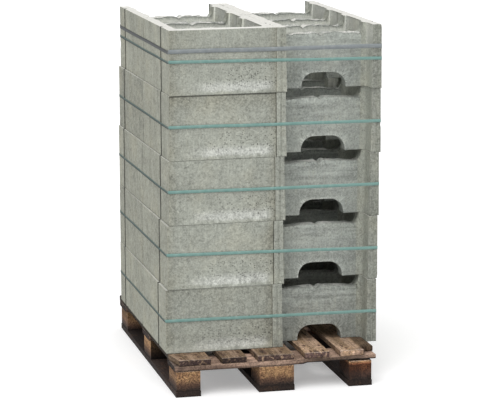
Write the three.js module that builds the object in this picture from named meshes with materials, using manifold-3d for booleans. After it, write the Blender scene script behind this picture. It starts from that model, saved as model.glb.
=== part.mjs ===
// Pallet of concrete formwork blocks: twenty hollow blocks in five layers of four, strapped layer by
// layer, on a four-way timber pallet. Millimetres, +Z up, +X to the right along the narrow side of
// the pallet, +Y towards its rear. The origin is the centre of the pallet's underside.

import * as THREE from 'three';
import { mergeVertices } from 'three/addons/utils/BufferGeometryUtils.js';
import Module from 'manifold-3d';

const wasm = await Module();
wasm.setup();

// ---------------------------------------------------------------------------------------------
// Driving dimensions
// ---------------------------------------------------------------------------------------------

// Hollow block: two side shells joined by two cross webs, cast upright over tapered cores
const blockLength = 500;
const blockWidth = 418;
const blockHeight = 250;
const blockArris = 3;            // chamfer on the upright corners
const shellFoot = 40;            // side shell at the foot of the block
const coreDraft = 6;             // each core face leans out by this much from foot to top
const webFoot = 56;              // cross web at the foot of the block
const webSetback = 88;           // shell ends stand this far in front of the web at an open end
const coreRadius = 22;           // rounding between web and shell

// Recess in the web tops, which leaves room for bars and for concrete to flow over
const recessDepth = 39;          // beside the haunches
const topRecessDepth = 43;        // in the top layer, whose webs are struck off lower
const recessCrown = 7;           // the web tops stand this much higher at the notch
const recessMargin = 14;         // web left at full height next to each shell
const recessSlope = 24;          // run of the rounded haunch down to the recess floor
const notchWidth = 28;           // V-shaped bar notch, a little left of the middle of the web
const notchDepth = 9;
const notchOffset = -10;

// Arch through the foot of the webs
const archWidth = 178;
const archHeight = 60;
const archRadius = 54;

// Closed end of the end block
const closedWallFoot = 56;
const closedCoreRadius = 34;     // haunches behind the closed wall

// Upright grooves: one splitting groove in each side face, one key groove in each open shell end
const endBlockSplit = 160;       // from the closed end of an end block to its splitting grooves
const openBlockSplit = 110;      // from the front end of an open block to its splitting grooves
const splitGrooveWidth = 18;
const splitGrooveDepth = 9;
const keyGrooveFromSide = 18;
const keyGrooveWidth = 7;
const keyGrooveDepth = 5;

// Stack: joints between the blocks of a layer. Each list runs from the bottom layer to the top one.
const rowJoint = 2;
const columnJoint = [4.5, 2, 1, 2, 1.5];
const layerSlide = [-15, -6, 2.5, 8, 10.5];         // how far its front left corner has slid sideways
const layerTurn = [0, 0.45, 0.9, 0.95, 0.65];       // degrees that it has turned about that corner

// Pallet: five deck boards on three stringer boards, nine blocks and three bottom boards
const palletWidth = 800;
const palletLength = 1200;
const boardThickness = 22;
const wideBoard = 145;
const narrowBoard = 100;
const palletBlockHeight = 78;
const stringerWidth = 145;
const footLines = [              // name, distance from the pallet's left side, width of the bottom board
  ['left', 6, 98],
  ['centre', 332, 141],
  ['right', 689, 94],
];
const footMargin = 2;            // the blocks stand back this far from each side of their bottom board
const palletBlockLength = 145;
const boardArris = 2;
const deckGap = (palletWidth - 3 * wideBoard - 2 * narrowBoard) / 4;

// Damage: the outer strip of the right deck board is broken off, and the front stringer is split
const brokenStripWidth = 49;
const brokenStripLength = 55;
const breakSplinter = 16;
const splitRun = 292;
const splitHeight = 7;
const splitReach = 18;

// Where the stack stands on the pallet
const stackSetback = 121;        // from the front of the pallet to the front of the stack
const stackInset = 9;            // from the left side of the pallet to a layer that has not slid

// Straps
const strapClearance = 0.3;
const strapThickness = 0.9;
const strapCornerRadius = 4;
const layerStrapWidth = 12;
const topStrapWidth = 16;
const layerStrapDrop = [121, 112, 119, 119, 119];   // centre below the top of its layer, from the foot up
const layerStrapTilt = [6, 14, 5, 7, 13];           // how much lower it runs at the right-hand side
const topStrapDrop = 80;
const topStrapTilt = 4;

// Modelling values
const overshoot = 2;             // how far a cutter runs past the face that it cuts
const arcSteps = 2;              // three.js makes twice as many facets of each circular arc
const archSteps = 3;

// ---------------------------------------------------------------------------------------------
// Derived sizes
// ---------------------------------------------------------------------------------------------

const layerCount = layerSlide.length;
const halfWidth = blockWidth / 2;
const halfInnerTop = halfWidth - shellFoot + coreDraft;
const stackLength = 2 * blockLength + rowJoint;
const stringerLevel = boardThickness + palletBlockHeight;
const deckLevel = stringerLevel + boardThickness;
const palletTop = deckLevel + boardThickness;
const palletLeft = -palletWidth / 2;
const palletFront = -palletLength / 2;
const stackLeft = palletLeft + stackInset;
const stackFront = palletFront + stackSetback;

// ---------------------------------------------------------------------------------------------
// Materials
// ---------------------------------------------------------------------------------------------

const concrete = () => new THREE.MeshStandardMaterial({ color: 0xa2a49a, roughness: 0.92, metalness: 0 });
const deckWood = () => new THREE.MeshStandardMaterial({ color: 0x86705a, roughness: 0.85, metalness: 0 });
const footWood = () => new THREE.MeshStandardMaterial({ color: 0x765a42, roughness: 0.88, metalness: 0 });
const greenStrap = () => new THREE.MeshStandardMaterial({ color: 0x6ea69b, roughness: 0.45, metalness: 0 });
const greyStrap = () => new THREE.MeshStandardMaterial({ color: 0x838c93, roughness: 0.5, metalness: 0 });

// ---------------------------------------------------------------------------------------------
// Solids
// ---------------------------------------------------------------------------------------------

function solidOf(geometry) {
  const bare = geometry.clone();
  bare.deleteAttribute('normal');
  bare.deleteAttribute('uv');
  const merged = mergeVertices(bare);
  return new wasm.Manifold(new wasm.Mesh({
    numProp: 3,
    vertProperties: new Float32Array(merged.attributes.position.array),
    triVerts: new Uint32Array(merged.index.array),
  }));
}

function geometryOf(solid) {
  const { vertProperties, triVerts } = solid.getMesh();
  const geometry = new THREE.BufferGeometry();
  geometry.setAttribute('position', new THREE.BufferAttribute(vertProperties, 3));
  geometry.setIndex(new THREE.BufferAttribute(triVerts, 1));
  geometry.computeVertexNormals();
  return geometry;
}

function named(name, geometry, material) {
  const mesh = new THREE.Mesh(geometry, material);
  mesh.name = name;
  return mesh;
}

function cutAll(body, cutters) {
  return cutters.reduce((rest, cutter) => rest.subtract(cutter), body);
}

// A plan outline in X and Y, raised from one level to another
function uprightPrism(shape, low, high) {
  const options = { depth: high - low, bevelEnabled: false, curveSegments: arcSteps };
  return new THREE.ExtrudeGeometry(shape, options).translate(0, 0, low);
}

// A cross-section in X and Z, run backwards along Y from front to back
function lengthwisePrism(shape, front, back) {
  const options = { depth: back - front, bevelEnabled: false, curveSegments: archSteps };
  return new THREE.ExtrudeGeometry(shape, options).rotateX(Math.PI / 2).translate(0, back, 0);
}

// A rectangle with sharp corners
function rectangle(left, right, low, high) {
  return new THREE.Shape([[left, low], [right, low], [right, high], [left, high]]
    .map(([x, y]) => new THREE.Vector2(x, y)));
}

// A rectangle with chamfered corners
function chamferedRectangle(left, right, low, high, chamfer) {
  return new THREE.Shape([
    [left + chamfer, low], [right - chamfer, low], [right, low + chamfer], [right, high - chamfer],
    [right - chamfer, high], [left + chamfer, high], [left, high - chamfer], [left, low + chamfer],
  ].map(([x, y]) => new THREE.Vector2(x, y)));
}

// A rectangle with round corners, whose radius may differ between its near and far side
function roundedRectangle(left, right, near, far, nearRadius, farRadius) {
  const shape = new THREE.Shape();
  shape.moveTo(left + nearRadius, near);
  shape.lineTo(right - nearRadius, near);
  shape.absarc(right - nearRadius, near + nearRadius, nearRadius, -Math.PI / 2, 0);
  shape.lineTo(right, far - farRadius);
  shape.absarc(right - farRadius, far - farRadius, farRadius, 0, Math.PI / 2);
  shape.lineTo(left + farRadius, far);
  shape.absarc(left + farRadius, far - farRadius, farRadius, Math.PI / 2, Math.PI);
  shape.lineTo(left, near + nearRadius);
  shape.absarc(left + nearRadius, near + nearRadius, nearRadius, Math.PI, 1.5 * Math.PI);
  return shape;
}

// ---------------------------------------------------------------------------------------------
// Hollow block: X across from -halfWidth to halfWidth, Y from its front end, Z from its foot
// ---------------------------------------------------------------------------------------------

// The mould core between two webs. Its faces lean out towards the top, so that it can be drawn.
function moldCore(near, far, nearRadius) {
  const halfInnerFoot = halfWidth - shellFoot;
  const outline = roundedRectangle(-halfInnerFoot, halfInnerFoot, near, far, nearRadius, coreRadius);
  const core = uprightPrism(outline, -overshoot, blockHeight + overshoot);
  const middle = (near + far) / 2;
  const point = core.attributes.position;
  for (let i = 0; i < point.count; i += 1) {
    const lean = coreDraft * point.getZ(i) / blockHeight;
    point.setX(i, point.getX(i) + Math.sign(point.getX(i)) * lean);
    point.setY(i, point.getY(i) + Math.sign(point.getY(i) - middle) * lean);
  }
  return solidOf(core);
}

// The recess over the webs, with a rounded haunch at each shell, and a crowned floor with a bar notch
function recessCutter(front, back, depth) {
  const rim = halfInnerTop - recessMargin;
  const floor = rim - recessSlope;
  const floorLevel = blockHeight - depth;
  const bend = floor + recessSlope / 4;
  const crest = floorLevel + recessCrown;
  const notchLeft = notchOffset - notchWidth / 2;
  const notchRight = notchOffset + notchWidth / 2;
  const shape = new THREE.Shape();
  shape.moveTo(rim, blockHeight + overshoot);
  shape.lineTo(-rim, blockHeight + overshoot);
  shape.lineTo(-rim, blockHeight);
  shape.quadraticCurveTo(-bend, floorLevel, -floor, floorLevel);
  shape.quadraticCurveTo((notchLeft - floor) / 2, crest, notchLeft, crest);
  shape.lineTo(notchOffset, crest - notchDepth);
  shape.lineTo(notchRight, crest);
  shape.quadraticCurveTo((notchRight + floor) / 2, crest, floor, floorLevel);
  shape.quadraticCurveTo(bend, floorLevel, rim, blockHeight);
  return solidOf(lengthwisePrism(shape, front, back));
}

// The arch through the foot of the webs, flat on top with round shoulders
function archCutter(front, back) {
  const half = archWidth / 2;
  const shoulder = archHeight - archRadius;
  const shape = new THREE.Shape();
  shape.moveTo(-half, -overshoot);
  shape.lineTo(half, -overshoot);
  shape.lineTo(half, shoulder);
  shape.absarc(half - archRadius, shoulder, archRadius, 0, Math.PI / 2);
  shape.lineTo(archRadius - half, archHeight);
  shape.absarc(archRadius - half, shoulder, archRadius, Math.PI / 2, Math.PI);
  return solidOf(lengthwisePrism(shape, front, back));
}

// An upright slot over the full height of the block
function grooveCutter(left, right, near, far) {
  return solidOf(uprightPrism(rectangle(left, right, near, far), -overshoot, blockHeight + overshoot));
}

function splitGrooves(fromEnd) {
  const near = fromEnd - splitGrooveWidth / 2;
  const far = fromEnd + splitGrooveWidth / 2;
  const floor = halfWidth - splitGrooveDepth;
  return [
    grooveCutter(-halfWidth - overshoot, -floor, near, far),
    grooveCutter(floor, halfWidth + overshoot, near, far),
  ];
}

function keyGrooves(near, far) {
  const outer = halfWidth - keyGrooveFromSide + keyGrooveWidth / 2;
  return [
    grooveCutter(-outer, keyGrooveWidth - outer, near, far),
    grooveCutter(outer - keyGrooveWidth, outer, near, far),
  ];
}

function hollowBlock({ closedFront, depth }) {
  const pastFront = -coreRadius - overshoot;
  const pastBack = blockLength + coreRadius + overshoot;
  const firstWeb = webSetback;
  const secondWeb = blockLength - webSetback - webFoot;
  const outline = chamferedRectangle(-halfWidth, halfWidth, 0, blockLength, blockArris);
  const body = solidOf(uprightPrism(outline, 0, blockHeight));

  const rearCore = moldCore(secondWeb + webFoot, pastBack, coreRadius);
  const rearKeys = keyGrooves(blockLength - keyGrooveDepth, blockLength + overshoot);
  if (closedFront) {
    const middle = blockLength / 2;
    return cutAll(body, [
      moldCore(closedWallFoot, secondWeb, closedCoreRadius), rearCore,
      recessCutter(middle, pastBack, depth), archCutter(middle, pastBack),
      ...splitGrooves(endBlockSplit), ...rearKeys,
    ]);
  }
  return cutAll(body, [
    moldCore(pastFront, firstWeb, coreRadius), moldCore(firstWeb + webFoot, secondWeb, coreRadius), rearCore,
    recessCutter(pastFront, pastBack, depth), archCutter(pastFront, pastBack),
    ...splitGrooves(openBlockSplit), ...keyGrooves(-overshoot, keyGrooveDepth), ...rearKeys,
  ]);
}

const castBlocks = (depth) => ({
  open: geometryOf(hollowBlock({ closedFront: false, depth })),
  end: geometryOf(hollowBlock({ closedFront: true, depth })),
});
const stackedBlocks = castBlocks(recessDepth);
const topBlocks = castBlocks(topRecessDepth);

// ---------------------------------------------------------------------------------------------
// Strapped layers
// ---------------------------------------------------------------------------------------------

// A flat band round a layer, a little clear of the blocks. It is level along Y and tilts across X.
function strap(name, material, layerWidth, width, drop, tilt) {
  const loop = (clear, radius) =>
    roundedRectangle(-clear, layerWidth + clear, -clear, stackLength + clear, radius, radius);
  const shape = loop(strapClearance + strapThickness, strapCornerRadius + strapThickness);
  shape.holes.push(loop(strapClearance, strapCornerRadius));
  const band = uprightPrism(shape, -width / 2, width / 2);
  const point = band.attributes.position;
  for (let i = 0; i < point.count; i += 1) {
    point.setZ(i, point.getZ(i) - tilt * point.getX(i) / layerWidth);
  }
  const mesh = named(name, geometryOf(solidOf(band)), material);
  mesh.position.z = blockHeight - drop;
  return mesh;
}

// One strapped layer: an end block and an open block in front, two open blocks turned about behind
// them. It slides and turns as one piece.
function blockLayer(index) {
  const layer = new THREE.Group();
  layer.name = `layer_${index + 1}`;
  const layerWidth = 2 * blockWidth + columnJoint[index];
  const leftColumn = halfWidth;
  const rightColumn = layerWidth - halfWidth;
  const onTop = index === layerCount - 1;
  const { open, end } = onTop ? topBlocks : stackedBlocks;
  const places = [
    ['front_left', end, leftColumn, 0, 0],
    ['front_right', open, rightColumn, 0, 0],
    ['rear_left', open, leftColumn, stackLength, Math.PI],
    ['rear_right', open, rightColumn, stackLength, Math.PI],
  ];
  for (const [place, geometry, x, y, turn] of places) {
    const block = named(`block_layer_${index + 1}_${place}`, geometry, concrete());
    block.position.set(x, y, 0);
    block.rotation.z = turn;
    layer.add(block);
  }
  layer.add(strap(`strap_layer_${index + 1}`, greenStrap(), layerWidth, layerStrapWidth,
    layerStrapDrop[index], layerStrapTilt[index]));
  if (onTop) {
    layer.add(strap('strap_top', greyStrap(), layerWidth, topStrapWidth, topStrapDrop, topStrapTilt));
  }
  layer.position.set(stackLeft + layerSlide[index], stackFront, palletTop + index * blockHeight);
  layer.rotation.z = THREE.MathUtils.degToRad(layerTurn[index]);
  return layer;
}

// ---------------------------------------------------------------------------------------------
// Pallet
// ---------------------------------------------------------------------------------------------

// A board that runs from the front of the pallet to its rear
function lengthwiseBoard(left, width, low) {
  const section = chamferedRectangle(left, left + width, low, low + boardThickness, boardArris);
  return lengthwisePrism(section, palletFront, palletFront + palletLength);
}

// The right deck board, whose outer strip is broken off at the front in a splintered step
function brokenBoard(left, width, low) {
  const right = left + width;
  const inner = right - brokenStripWidth;
  const breakLine = palletFront + brokenStripLength;
  const shape = new THREE.Shape([
    [left, palletFront], [inner, palletFront], [inner + breakSplinter / 4, breakLine - breakSplinter],
    [inner + brokenStripWidth / 3, breakLine], [right - brokenStripWidth / 3, breakLine - breakSplinter / 2],
    [right, breakLine + breakSplinter / 2], [right, palletFront + palletLength],
    [left, palletFront + palletLength],
  ].map(([x, y]) => new THREE.Vector2(x, y)));
  return uprightPrism(shape, low, low + boardThickness);
}

function deckBoards() {
  const widths = [wideBoard, narrowBoard, wideBoard, narrowBoard, wideBoard];
  let left = palletLeft;
  return widths.map((width, index) => {
    const last = index === widths.length - 1;
    const board = last ? brokenBoard(left, width, deckLevel) : lengthwiseBoard(left, width, deckLevel);
    left += width + deckGap;
    return named(`deck_board_${index + 1}`, board, deckWood());
  });
}

// The three rows in which blocks and stringers stand, as [name, distance from the pallet's front]
const rows = [
  ['front', 0],
  ['middle', (palletLength - stringerWidth) / 2],
  ['rear', palletLength - stringerWidth],
];

// The long splinter that is missing from the lower front edge of the front stringer
function splitCutter() {
  const right = palletLeft + palletWidth;
  const shape = new THREE.Shape([
    new THREE.Vector2(palletFront - overshoot, stringerLevel - overshoot),
    new THREE.Vector2(palletFront + splitReach, stringerLevel - overshoot),
    new THREE.Vector2(palletFront - overshoot, stringerLevel + splitHeight),
  ]);
  const options = { depth: splitRun + overshoot, bevelEnabled: false };
  const wedge = new THREE.ExtrudeGeometry(shape, options);
  wedge.applyMatrix4(new THREE.Matrix4().set(0, 0, 1, 0, 1, 0, 0, 0, 0, 1, 0, 0, 0, 0, 0, 1));
  return solidOf(wedge.translate(right - splitRun, 0, 0));
}

function stringerBoards() {
  return rows.map(([row, offset]) => {
    const near = palletFront + offset;
    const outline = chamferedRectangle(palletLeft, -palletLeft, near, near + stringerWidth, boardArris);
    const whole = uprightPrism(outline, stringerLevel, deckLevel);
    const board = row === 'front' ? geometryOf(solidOf(whole).subtract(splitCutter())) : whole;
    return named(`stringer_board_${row}`, board, deckWood());
  });
}

function palletBlocks() {
  const inset = (stringerWidth - palletBlockLength) / 2;
  return rows.flatMap(([row, offset]) => footLines.map(([line, across, width]) => {
    const left = palletLeft + across + footMargin;
    const right = palletLeft + across + width - footMargin;
    const near = palletFront + offset + inset;
    const outline = chamferedRectangle(left, right, near, near + palletBlockLength, boardArris);
    const block = uprightPrism(outline, boardThickness, stringerLevel);
    return named(`pallet_block_${row}_${line}`, block, footWood());
  }));
}

function bottomBoards() {
  return footLines.map(([line, across, width]) =>
    named(`bottom_board_${line}`, lengthwiseBoard(palletLeft + across, width, 0), footWood()));
}

// ---------------------------------------------------------------------------------------------
// Assembly
// ---------------------------------------------------------------------------------------------

const loadedPallet = new THREE.Group();
loadedPallet.name = 'pallet_of_concrete_blocks';
loadedPallet.add(...bottomBoards(), ...palletBlocks(), ...stringerBoards(), ...deckBoards());
for (let index = 0; index < layerCount; index += 1) {
  loadedPallet.add(blockLayer(index));
}

export default loadedPallet;
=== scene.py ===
"""Looks of a strapped pallet of concrete formwork blocks, laid out as an add-on and run as a script.

The block, board and strap shapes are numpy arrays worked out from the frame's boxes and the sizes
in the property groups below. All lengths are in metres.
"""

import math

import bpy
import numpy as np
from mathutils import Matrix, Vector


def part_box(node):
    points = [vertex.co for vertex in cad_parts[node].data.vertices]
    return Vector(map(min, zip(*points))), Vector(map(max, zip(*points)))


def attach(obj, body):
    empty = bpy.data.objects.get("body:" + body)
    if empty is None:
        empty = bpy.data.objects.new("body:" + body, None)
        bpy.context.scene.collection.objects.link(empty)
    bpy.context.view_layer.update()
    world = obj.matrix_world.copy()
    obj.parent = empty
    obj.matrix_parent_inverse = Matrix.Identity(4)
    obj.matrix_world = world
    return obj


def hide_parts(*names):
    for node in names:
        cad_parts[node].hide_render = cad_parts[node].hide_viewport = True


bl_info = {
    "name": "Pallet of concrete blocks",
    "version": (1, 0, 0),
    "blender": (4, 5, 0),
    "location": "View3D > Sidebar > Block pallet",
    "description": "Concrete formwork blocks, timber pallet and straps in the packed frame",
    "category": "Object",
}

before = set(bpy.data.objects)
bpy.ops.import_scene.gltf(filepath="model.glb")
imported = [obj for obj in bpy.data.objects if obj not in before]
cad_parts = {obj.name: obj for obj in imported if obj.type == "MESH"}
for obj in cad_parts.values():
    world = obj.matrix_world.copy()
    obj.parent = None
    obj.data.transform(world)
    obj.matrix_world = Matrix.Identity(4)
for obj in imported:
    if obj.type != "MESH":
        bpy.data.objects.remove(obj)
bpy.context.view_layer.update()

LAYERS = BOARDS = range(1, 6)
PLACES = ("front_left", "front_right", "rear_left", "rear_right")
ROWS = ("front", "middle", "rear")
LINES = ("left", "centre", "right")
BROKEN_BOARD = 5

MM = 0.001
TINY = 1e-6                                   # places closer than this are the same
FINE = np.array((0.0, 3.0, 8.0)) * MM         # lattice lines of a block beside its edges
EDGE = np.array((0.0, 1.5, 4.0, 8.0)) * MM    # and of a board
BENDS = np.linspace(0.0, 1.0, 6)              # parts of a rounded corner


# ---- Settings ----

def number(name, description, default, **more):
    return bpy.props.FloatProperty(name=name, description=description, default=default, **more)


def length(name, description, default):
    return number(name, description, default, unit="LENGTH", min=0.0, precision=4)


def share(name, description, default):
    return number(name, description, default, min=0.0, max=1.0)


def angle(name, description, degrees):
    return number(name, description, math.radians(degrees), unit="ROTATION")


def series(name, description, *default, **more):
    """Numbers for the layers from the bottom one up, or for the boards and feet from the left one."""
    return bpy.props.FloatVectorProperty(name=name, description=description, default=default,
                                         size=len(default), **more)


def colour(name, description, *default):
    return series(name, description, *default, subtype="COLOR", min=0.0, max=1.0)


class BlockSettings(bpy.types.PropertyGroup):
    shell: length("Shell", "Thickness of the side shells at the foot", 0.040)
    draft: length("Draft", "How far each core face leans out from foot to top", 0.006)
    web: length("Web", "Thickness of the cross webs at the foot", 0.056)
    setback: length("Setback", "How far the shell ends stand in front of the web", 0.088)
    closed_wall: length("Closed wall", "Thickness of the closed end at the foot", 0.056)
    fillet: length("Fillet", "Rounding between web and shell", 0.022)
    closed_fillet: length("Closed fillet", "Rounding behind the closed end", 0.034)
    recess: length("Recess", "Depth of the recess over the webs, beside its haunches", 0.044)
    top_recess: length("Top recess", "Depth of the recess in the top layer", 0.043)
    crown: length("Crown", "How much higher the web tops stand at the bar notch", 0.007)
    rim: length("Rim", "Web left at full height next to the right shell", 0.014)
    left_rim: length("Left rim", "How far from the left shell's foot the haunch starts", 0.002)
    haunch: length("Haunch", "Run of the rounded haunch down to the recess", 0.024)
    notch: length("Notch", "Width of the bar notch in the web top", 0.028)
    notch_depth: length("Notch depth", "Depth of the bar notch", 0.009)
    notch_side: length("Notch to the left", "How far the bar notch is left of the middle", 0.010)
    arch_width: length("Arch width", "Width of the arch through the webs", 0.178)
    arch_height: length("Arch height", "Height of the arch through the webs", 0.060)
    arch_radius: length("Arch radius", "Shoulder radius of the arch", 0.054)
    end_split: length("End block groove", "Middle of the splitting groove from the closed end", 0.160)
    open_split: length("Open block groove", "Middle of the splitting groove from the front end", 0.110)
    split_width: length("Split groove width", "Width of the splitting groove", 0.018)
    split_depth: length("Split groove depth", "Depth of the splitting groove", 0.009)
    key_place: length("Key groove", "Middle of the key groove from the block's side", 0.018)
    key_width: length("Key groove width", "Width of the key groove", 0.007)
    key_depth: length("Key groove depth", "Depth of the key groove", 0.0035)
    flare: length("Foot flare", "How far a closed end stands back above the block's foot", 0.0018)
    flare_height: length("Flare height", "Height over which the foot flares out", 0.016)
    close_up: series("Closed joints",
                     "How far each layer's blocks stand out to the other column, from the bottom one up",
                     0.0012, 0.0, 0.0, 0.0, 0.0005, unit="LENGTH")
    chips: bpy.props.IntProperty(name="Chips", description="Chipped arrises on each block", default=5)
    grit: series("Web grit", "Roughness of the struck-off web tops, from the bottom layer up",
                 0.0011, 0.0013, 0.0024, 0.0012, 0.0030, unit="LENGTH")
    # The pale dust on level faces also stands in for the light from above (painted light).
    dust: series("Top dust", "How pale the level faces of each layer are, from the bottom one up",
                 0.55, 0.55, 0.55, 0.55, 1.0)
    turns: series("Layer turns", "Turn of each layer about the upright, from the bottom one up",
                  *map(math.radians, (0.0, 0.45, 0.9, 0.95, 0.65)), unit="ROTATION")
    # The top stains are partly stains and partly a painted shadow from the layer above.
    stains: series("Top stains", "How dark the top of each layer's closed end is, from the bottom one up",
                   0.50, 0.0, -0.25, 1.25, 0.0)
    tones: series("Layer tones", "How much lighter or darker each layer is, from the bottom one up",
                  -0.090, -0.005, -0.030, 0.015, -0.035)
    side_tones: series("Side tones", "How much lighter each layer's long sides are, from the bottom one up",
                       0.09, -0.02, 0.0, -0.10, 0.035)
    end_tones: series("End tones", "How much lighter each layer's closed end is, from the bottom one up",
                      -0.03, -0.01, 0.0, -0.065, -0.015)
    tint: colour("Concrete", "Colour of the cast faces", 0.350, 0.364, 0.318)
    # Partly the webs' own colour and partly the cool of the shade in the recess (painted shade).
    cool_web_and_shade: colour("Cool concrete", "Colour of the webs", 0.335, 0.358, 0.334)
    warm: colour("Warm concrete", "Colour of the olive clouds and streaks", 0.352, 0.350, 0.284)
    pale: colour("Laitance", "Colour of the pale top faces", 0.80, 0.79, 0.745)


class PalletSettings(bpy.types.PropertyGroup):
    crack: length("Crack", "Width of the drying cracks in the board ends", 0.0009)
    nail: length("Nail head", "Radius of the nail heads", 0.0045)
    broken_strip: length("Broken strip", "Width of the strip broken off the right deck board", 0.049)
    broken_length: length("Broken length", "Length of the strip broken off", 0.055)
    worn_corner: length("Worn corner", "How far the deck's front left corner is worn back", 0.020)
    split_run: length("Split run", "Length of the split along the front stringer", 0.292)
    split_height: length("Split height", "Height of the split", 0.007)
    split_reach: length("Split reach", "How far the split goes in under the stringer", 0.018)
    board_tones: series("Board tones", "How light each deck board is, from the left one",
                        0.97, 0.77, 0.88, 1.40, 1.14)
    end_tones: series("Board end tones", "How light the front end of each deck board is beside its top",
                      0.69, 0.50, 1.02, 0.82, 1.42)
    stringer_tones: series("Stringer tones",
                           "How light the front stringer is at even steps from its left end",
                           0.78, 0.70, 0.74, 1.02, 1.24, 1.32, 0.92, 0.32, 0.44, 0.44, 1.05)
    stringer_top_tones: series("Stringer top tones",
                               "How light the front stringer's top is at even steps from its left end",
                               0.42, 1.3, 2.05, 1.05, 1.5, 1.5)
    foot_tones: series("Foot tones", "How light the blocks under each line are, from the left one",
                       0.88, 0.86, 0.27)
    deck: colour("Deck wood", "Colour of the deck boards", 0.286, 0.191, 0.117)
    stringer: colour("Stringer wood", "Colour of the boards under the deck", 0.350, 0.240, 0.180)
    deck_dark: colour("Deck grain", "Dark grain and stains of the deck", 0.055, 0.036, 0.030)
    foot: colour("Foot wood", "Colour of the pressed blocks", 0.285, 0.158, 0.085)
    foot_dark: colour("Foot stain", "Wet, dirty foot of the pallet", 0.030, 0.021, 0.018)


class StrapSettings(bpy.types.PropertyGroup):
    thickness: length("Thickness", "Thickness of a strap", 0.0009)
    layer_width: length("Layer strap width", "Width of the straps round each layer", 0.012)
    top_width: length("Top strap width", "Width of the second strap on the top layer", 0.016)
    corner: length("Corner", "Radius of a strap round the block corners", 0.004)
    weld: length("Weld", "Length of the welded overlap", 0.060)
    left_width: share("Width on the left", "Share of a layer strap's width that shows on the left", 0.78)
    left_drop: length("Drop on the left", "How much lower a strap runs on the left", 0.0042)
    # Painted shade on the strap's run on the left.
    left_shade: share("Tone on the left", "How light a strap is on the left", 0.28)
    green: colour("Green strap", "Colour of the layer straps", 0.185, 0.320, 0.292)
    grey: colour("Grey strap", "Colour of the second strap on the top layer", 0.240, 0.264, 0.274)


class StageSettings(bpy.types.PropertyGroup):
    lens: number("Lens", "Focal length in mm on a 36 mm frame", 169.49)
    eye: series("Eye", "Place of the camera", -2.081, -9.155, 2.339, unit="LENGTH")
    yaw: angle("Yaw", "Turn to the right of straight ahead", 13.041)
    pitch: angle("Pitch", "Tilt below level", 10.229)
    roll: angle("Roll", "Turn about the line of sight", -0.385)
    sky: number("Sky", "Strength of the even light", 0.72)
    sun: number("Sun", "Strength of the soft sun", 1.45)


# ---- Arrays: fixed noise, lattice shells, smoothing ----

def scatter(i, j, k, seed):
    """A fixed number from -1 to 1 for each whole-numbered point: the fraction of a large sine."""
    wave = np.sin(i * 127.1 + j * 311.7 + k * 74.7 + seed * 53.31) * 43758.5453
    return 2.0 * (wave - np.floor(wave)) - 1.0


def noise(points, size, seed=0.0):
    """Smooth noise from -1 to 1: scatter at the corners of cubes of that size, blended across each cube."""
    cell = np.floor(points / size)
    part = points / size - cell
    part = part * part * (3.0 - 2.0 * part)
    total = np.zeros(len(points))
    for corner in np.ndindex(2, 2, 2):
        weight = np.ones(len(points))
        for axis in range(3):
            weight *= part[:, axis] if corner[axis] else 1.0 - part[:, axis]
        total += weight * scatter(*(cell + corner).T, seed)
    return total


def rough(points, size, seed=0.0):
    """Sum of noise at three halving sizes and heights."""
    return sum(noise(points, size / 2 ** n, seed + n) / 2 ** n for n in range(3))


def ramp(value, low, high):
    """0 below low, 1 above high, smooth between; the other way round where low is the larger."""
    part = np.clip((value - low) / (high - low), 0.0, 1.0)
    return part * part * (3.0 - 2.0 * part)


def fade(distance, reach):
    """1 at no distance, falling evenly to 0 at the reach."""
    return np.clip(1.0 - distance / reach, 0.0, 1.0)


def touches(value, place):
    """At a place, to a thousandth of a millimetre."""
    return abs(value - place) < TINY


def within(value, low, high):
    """Between two places, or touching one of them."""
    return (value > low - TINY) & (value < high + TINY)


def lines(marks, step):
    """Lattice lines: the given marks, and each gap between two marks split evenly into parts up to step."""
    marks = np.unique(np.round(marks, 6))
    counts = np.maximum(1, np.ceil((marks[1:] - marks[:-1]) / step - TINY)).astype(int)
    runs = [np.linspace(a, b, n, endpoint=False) for a, b, n in zip(marks[:-1], marks[1:], counts)]
    return np.concatenate([*runs, marks[-1:]])


def middles(grid):
    """Middles of the cells between the lattice lines along x, y and z."""
    return np.meshgrid(*((line[1:] + line[:-1]) / 2 for line in grid), indexing="ij")


def lattice_shell(grid, solid):
    """The skin of a set of lattice cells, as welded quads that face outwards.

    grid holds the lines along x, y and z, and solid says for each cell whether it is filled. Each
    quad lies between a filled and an empty cell. Returns the points, the quads, and for each point
    the number of directions that its quads face: 1 on a flat, 2 on an edge, 3 on a corner.
    """
    padded = np.pad(solid, 1)
    counts = [len(line) for line in grid]
    quads, facing = [], []
    for axis in range(3):
        order = (axis, (axis + 1) % 3, (axis + 2) % 3)
        cells = np.transpose(padded, order)
        below, above = cells[:-1], cells[1:]
        for outward, mask in ((1, below & ~above), (-1, ~below & above)):
            plane, row, column = np.nonzero(mask)
            corners = []
            for step_row, step_column in ((-1, -1), (0, -1), (0, 0), (-1, 0))[::outward]:
                index = dict(zip(order, (plane, row + step_row, column + step_column)))
                corners.append(np.ravel_multi_index([index[number] for number in range(3)], counts))
            quads.append(np.stack(corners, 1))
            facing.append(np.full(len(plane), axis))
    quads, facing = np.concatenate(quads), np.concatenate(facing)
    used, quads = np.unique(quads, return_inverse=True)
    quads = quads.reshape(-1, 4)
    points = np.stack([line[i] for line, i in zip(grid, np.unravel_index(used, counts))], 1)
    directions = np.zeros((len(points), 3), bool)
    directions[quads.ravel(), np.repeat(facing, 4)] = True
    return points, quads, directions.sum(1)


def soften(points, quads, weight, rounds=1):
    """Moves each point towards the middle of its neighbours by its own weight."""
    edges = np.unique(np.sort(np.concatenate([quads[:, (i, (i + 1) % 4)] for i in range(4)]), axis=1), axis=0)
    ends = np.concatenate([edges, edges[:, ::-1]])
    count = np.bincount(ends[:, 0], minlength=len(points))[:, None]
    for _ in range(rounds):
        middle = np.stack([np.bincount(ends[:, 0], points[ends[:, 1], a], len(points)) for a in range(3)], 1)
        points = points + (middle / count - points) * weight[:, None]
    return points


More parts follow.
